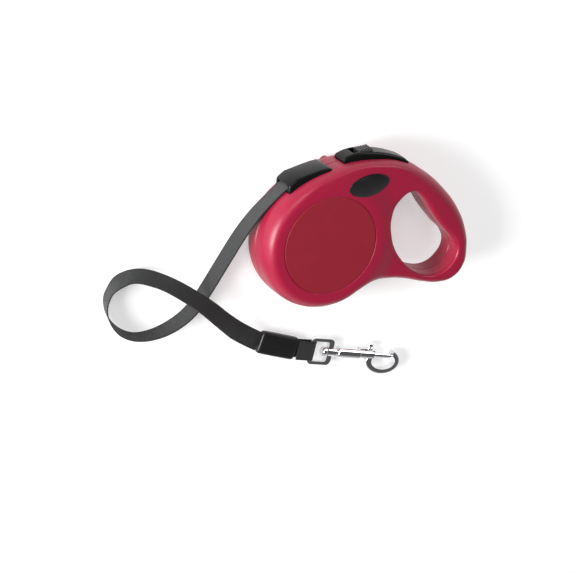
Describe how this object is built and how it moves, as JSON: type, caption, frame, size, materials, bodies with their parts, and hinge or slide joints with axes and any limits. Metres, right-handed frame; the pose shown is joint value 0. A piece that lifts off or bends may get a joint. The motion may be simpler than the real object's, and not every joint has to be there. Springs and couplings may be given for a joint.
{
  "type": "retractable leash",
  "caption": "Hand-held retractable dog leash: sprung reel of webbing tape in a two-shell case with a loop handle, brake button with lock, and a swivelling bolt snap.",
  "frame": {"origin": "on the reel's axis, at the flat side face that the leash rests on", "axes": "+Z along the reel's axis and up, +X towards the handle, +Y towards the brake button"},
  "size_m": [0.2354, 0.1592, 0.033],
  "materials": {
    "shell_red": "gloss",
    "badge_black": "gloss",
    "zinc_steel": "plain",
    "black_plastic": "satin",
    "polished_steel": "polished",
    "white_acetal": "satin",
    "grey_plastic": "satin",
    "tape_webbing": "woven",
    "spring_steel": "plain",
    "chrome_zinc": "polished",
    "sleeve_rubber": "satin"
  },
  "bodies": {
    "housing": {"left_shell": "shell_red", "right_shell": "shell_red", "left_badge": "badge_black", "right_badge": "badge_black", "shell_screws": "zinc_steel", "exit_nozzle": "black_plastic", "guide_pin": "polished_steel", "roller_pin": "polished_steel", "reel_axle": "polished_steel", "reel_washers": "polished_steel", "spring_arbor": "white_acetal", "mainspring": "spring_steel", "tape_lead": "tape_webbing", "button_pin": "polished_steel", "button_spring": "spring_steel", "tape_free": "tape_webbing", "tape_sleeve": "sleeve_rubber", "tape_end_loop": "tape_webbing"},
    "reel": {"reel_drum": "grey_plastic", "reel_cover": "grey_plastic", "wound_tape": "tape_webbing"},
    "roller": {"guide_roller": "white_acetal"},
    "brake": {"brake_button": "black_plastic", "brake_pawl": "white_acetal"},
    "lock": {"lock_slider": "grey_plastic"},
    "eye": {"swivel_eye": "chrome_zinc"},
    "hook": {"swivel_rivet": "chrome_zinc", "hook_body": "chrome_zinc", "bolt_spring": "spring_steel"},
    "bolt": {"hook_bolt": "chrome_zinc"}
  },
  "joints": [
    {"name": "reel_spin", "type": "hinge", "parent": "housing", "child": "reel", "pos_m": [0, 0, 0.0165], "axis": [0, 0, 1], "range_deg": [0, 9720], "stiffness_Nm_per_rad": 0.0006, "springref_deg": -859.44},
    {"name": "brake_press", "type": "hinge", "parent": "housing", "child": "brake", "pos_m": [0.0195, 0.043, 0.0165], "axis": [0, 0, -1], "range_deg": [0, 5], "stiffness_Nm_per_rad": 1, "springref_deg": -2.86},
    {"name": "eye_tilt", "type": "hinge", "parent": "housing", "child": "eye", "pos_m": [-0.0005, -0.0806, 0.0038], "axis": [-0.2924, -0.9563, 0], "range_deg": [-80, 80]},
    {"name": "bolt_slide", "type": "slide", "parent": "hook", "child": "bolt", "axis": [-0.9563, 0.2924, 0], "range_m": [0, 0.007], "stiffness_N_per_m": 500, "springref_m": -0.004},
    {"name": "lock_slide", "type": "slide", "parent": "brake", "child": "lock", "axis": [-1, 0, 0], "range_m": [0, 0.004]},
    {"name": "hook_swivel", "type": "hinge", "parent": "eye", "child": "hook", "pos_m": [0.00906, -0.08352, 0.0038], "axis": [0.9563, -0.2924, 0], "continuous": true},
    {"name": "roller_spin", "type": "hinge", "parent": "housing", "child": "roller", "pos_m": [-0.01957, 0.03627, 0.0165], "axis": [0, 0, 1], "continuous": true}
  ]
}
